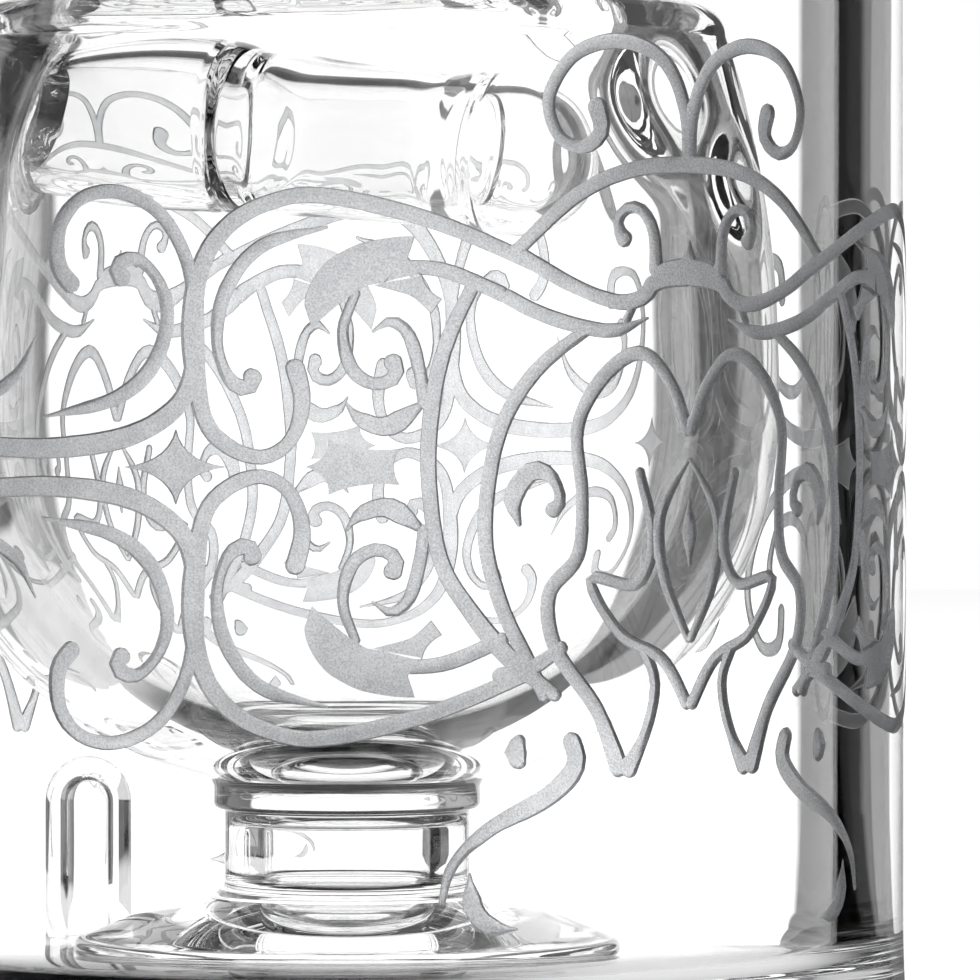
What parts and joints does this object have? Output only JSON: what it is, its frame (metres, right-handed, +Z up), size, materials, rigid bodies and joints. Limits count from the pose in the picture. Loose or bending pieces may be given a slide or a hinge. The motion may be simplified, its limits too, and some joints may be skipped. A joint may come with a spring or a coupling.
{
  "type": "shot glass",
  "caption": "Clear double-walled shot glass: straight outer glass with carved scrollwork, egg-shaped inner bowl on a stem and foot, and a sloping sealed tube.",
  "frame": {"origin": "centre of the flat underside of the base, on the axis of the outer glass", "axes": "+Z up along the axis of the glass, front towards -Y, +X to the right seen from the front; the tube's open end is at the back left"},
  "size_m": [0.05, 0.05, 0.058],
  "materials": {
    "clear_glass": "fire-polished clear borosilicate glass, with carved and frosted scrollwork on the outer wall"
  },
  "bodies": {
    "root": {"outer_wall": "clear_glass", "base": "clear_glass", "inner_bowl": "clear_glass", "bowl_collar": "clear_glass", "stem": "clear_glass", "foot": "clear_glass", "cross_tube": "clear_glass", "front_tube": "clear_glass", "tube_cap": "clear_glass", "bowl_seal": "clear_glass", "wall_seal": "clear_glass", "back_post": "clear_glass"}
  },
  "joints": []
}
